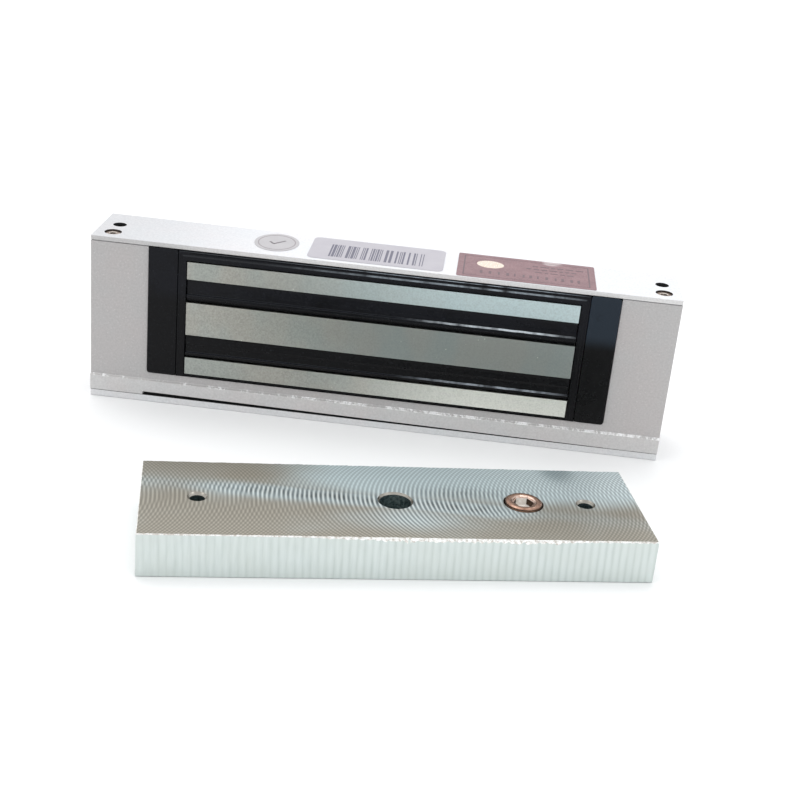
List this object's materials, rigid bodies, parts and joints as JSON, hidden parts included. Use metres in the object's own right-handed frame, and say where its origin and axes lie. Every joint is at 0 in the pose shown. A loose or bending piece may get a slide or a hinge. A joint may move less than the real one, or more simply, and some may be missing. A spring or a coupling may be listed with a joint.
{
  "type": "magnetic door lock",
  "caption": "Door electromagnet: silver housing with an E-core behind a black moulded face, on its mounting plate, with a loose steel armature plate.",
  "frame": {"origin": "centre of the mounting face, the underside of the mounting plate, which the door frame's header meets", "axes": "+Z away from the mounting face, +X along the lock, -Y towards the pole faces and the armature plate"},
  "size_m": [0.266, 0.1908, 0.0782],
  "materials": {
    "housing_silver": "satin silver, fine sparkling flake",
    "cover_silver": "satin silver, fine sparkling flake",
    "plate_silver": "satin, anodised",
    "screw_steel": "bright, slightly brown",
    "nut_steel": "zinc plated",
    "pole_steel": "ground, matt grey",
    "bobbin_nylon": "natural nylon",
    "winding_copper": "enamelled copper wire",
    "black_moulding": "semi-gloss black moulding",
    "black_resin": "cast resin",
    "carrier_plastic": "moulded, natural",
    "board_green": "printed circuit board, solder mask",
    "terminal_green": "moulded",
    "varistor_blue": "dipped lacquer",
    "diode_black": "moulded",
    "jumper_red": "moulded",
    "lead_red": "PVC insulation",
    "lead_black": "PVC insulation",
    "grommet_rubber": "matt black",
    "label_grey": "printed vinyl, light grey",
    "label_lilac": "printed vinyl, pale lilac",
    "label_mauve": "printed vinyl, mauve",
    "zinc_steel": "milled and zinc plated, arc tool marks",
    "button_bronze": "copper-brown plating",
    "clip_steel": "dark spring steel",
    "spring_steel": "drawn wire"
  },
  "bodies": {
    "lock": {"housing": "housing_silver", "top_cover": "cover_silver", "mounting_plate": "plate_silver", "body_screw_left": "screw_steel", "body_screw_right": "screw_steel", "rivet_nut_left": "nut_steel", "rivet_nut_right": "nut_steel", "laminated_core": "pole_steel", "coil_bobbin": "bobbin_nylon", "coil_winding": "winding_copper", "slot_cover_upper": "black_moulding", "slot_cover_lower": "black_moulding", "face_frame": "black_moulding", "end_block_left": "black_moulding", "end_block_right": "black_moulding", "potting_block": "black_resin", "filler_block_left": "black_resin", "board_carrier": "carrier_plastic", "control_board": "board_green", "terminal_block": "terminal_green", "terminal_screw_1": "nut_steel", "terminal_screw_2": "nut_steel", "terminal_screw_3": "nut_steel", "varistor": "varistor_blue", "flyback_diode": "diode_black", "voltage_jumper": "jumper_red", "coil_lead_plus": "lead_red", "coil_lead_minus": "lead_black", "cable_grommet": "grommet_rubber", "label_oval": "label_grey", "label_barcode": "label_lilac", "label_seal": "label_mauve"},
    "armature": {"armature_plate": "zinc_steel", "ejector_spring": "spring_steel"},
    "ejector": {"ejector_button": "button_bronze", "ejector_clip": "clip_steel"}
  },
  "joints": [
    {"name": "armature_swing", "type": "hinge", "parent": "lock", "child": "armature", "pos_m": [0.01585, -0.05818, -0.02058], "axis": [-0.9891, -0.104, -0.104], "range_deg": [0, 90.63]},
    {"name": "ejector_slide", "type": "slide", "parent": "armature", "child": "ejector", "axis": [0, 0, -1], "range_m": [0, 0.0011], "deforming": ["ejector_spring"]}
  ],
  "couplings": [
    {"joint": "ejector_slide", "follows": "armature_swing", "m_per_rad": 0.00069}
  ]
}
